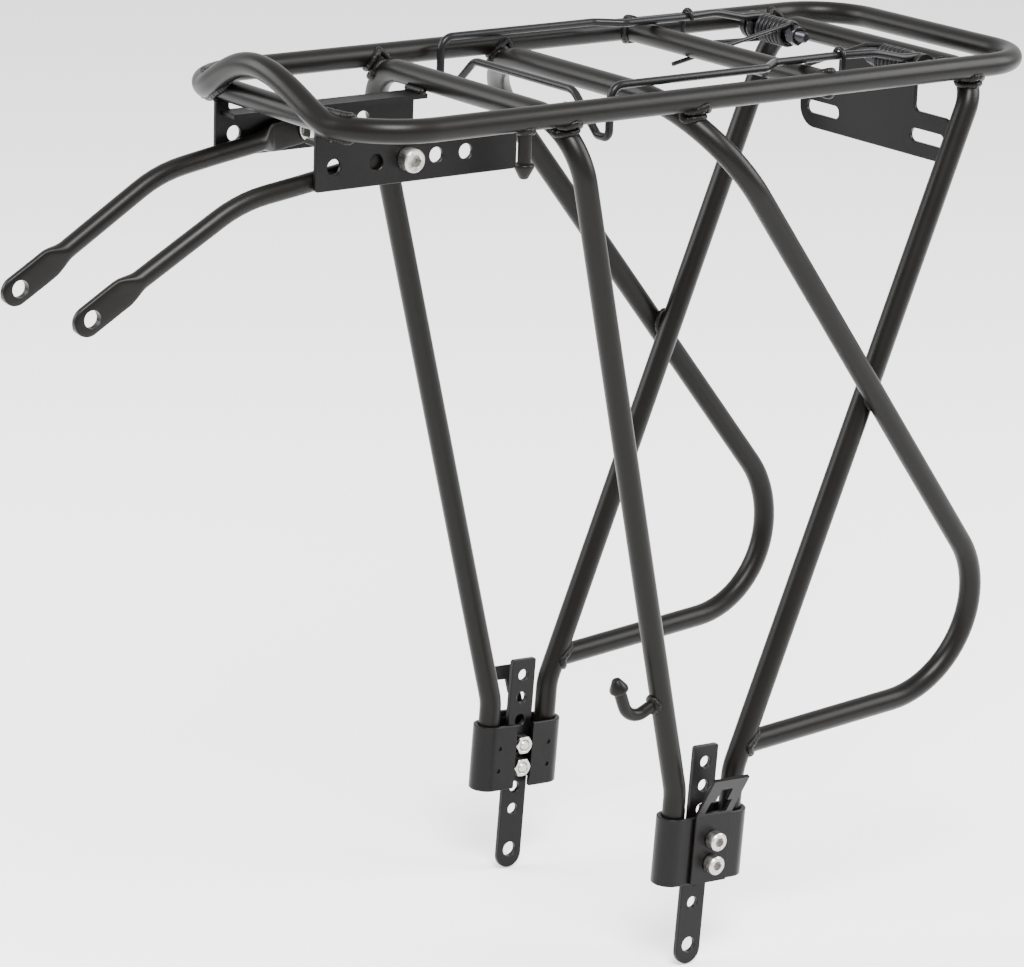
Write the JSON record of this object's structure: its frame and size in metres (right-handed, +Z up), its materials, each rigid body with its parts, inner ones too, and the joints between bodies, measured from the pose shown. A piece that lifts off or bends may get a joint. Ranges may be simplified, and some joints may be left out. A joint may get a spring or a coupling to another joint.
{
  "type": "bicycle rear rack",
  "caption": "Tubular bicycle rear rack with side guards, sprung deck clip, adjustable drop straps and swivelling front stays.",
  "frame": {"origin": "midway between the eyelets at the lower ends of the two drop straps", "axes": "+X towards the front of the bicycle, +Y to its left, +Z up"},
  "size_m": [0.4702, 0.18, 0.4132],
  "materials": {
    "frame_paint": "satin black powder coat on aluminium tube",
    "coated_steel": "satin black coated steel",
    "spring_wire": "black spring steel wire",
    "fasteners": "black zinc"
  },
  "bodies": {
    "frame": {"clamp_bolt_lower_left": "fasteners", "clamp_bolt_lower_right": "fasteners", "clamp_bolt_upper_left": "fasteners", "clamp_bolt_upper_right": "fasteners", "clamp_nut_lower_left": "fasteners", "clamp_nut_lower_right": "fasteners", "clamp_nut_upper_left": "fasteners", "clamp_nut_upper_right": "fasteners", "deck_cross_tube": "frame_paint", "deck_loop": "frame_paint", "drop_strap_left": "coated_steel", "drop_strap_right": "coated_steel", "front_bar": "frame_paint", "front_leg_frame": "frame_paint", "guard_frame": "frame_paint", "leg_clamp_left": "coated_steel", "leg_clamp_right": "coated_steel", "light_bracket": "frame_paint", "pivot_bolt_left": "fasteners", "pivot_bolt_right": "fasteners", "pivot_lug_left": "frame_paint", "pivot_lug_right": "frame_paint", "pivot_nut_left": "fasteners", "pivot_nut_right": "fasteners", "pump_peg_lower": "frame_paint", "pump_peg_upper": "frame_paint", "rear_leg_frame": "frame_paint", "side_plate_left": "frame_paint", "side_plate_right": "frame_paint", "stay_bolt_left": "fasteners", "stay_bolt_right": "fasteners", "stay_nut_left": "fasteners", "stay_nut_right": "fasteners", "stay_washer_left": "fasteners", "stay_washer_right": "fasteners", "strap_anchor_left": "coated_steel", "strap_anchor_right": "coated_steel"},
    "flap": {"flap_wire": "spring_wire", "flap_spring_left": "spring_wire", "flap_spring_right": "spring_wire"},
    "front_stay_left": {"front_stay_left": "coated_steel"},
    "front_stay_right": {"front_stay_right": "coated_steel"}
  },
  "joints": [
    {"name": "flap_hinge", "type": "hinge", "parent": "frame", "child": "flap", "pos_m": [-0.117, 0, 0.3815], "axis": [0, -1, 0], "range_deg": [0, 95], "stiffness_Nm_per_rad": 0.35, "springref_deg": -20.05, "deforming": ["flap_spring_left", "flap_spring_right"]},
    {"name": "front_stay_left_swivel", "type": "hinge", "parent": "frame", "child": "front_stay_left", "pos_m": [0.1418, 0.038, 0.3637], "axis": [0, 1, 0], "range_deg": [-12, 35]},
    {"name": "front_stay_right_swivel", "type": "hinge", "parent": "frame", "child": "front_stay_right", "pos_m": [0.1418, -0.038, 0.3637], "axis": [0, 1, 0], "range_deg": [-12, 35]}
  ]
}
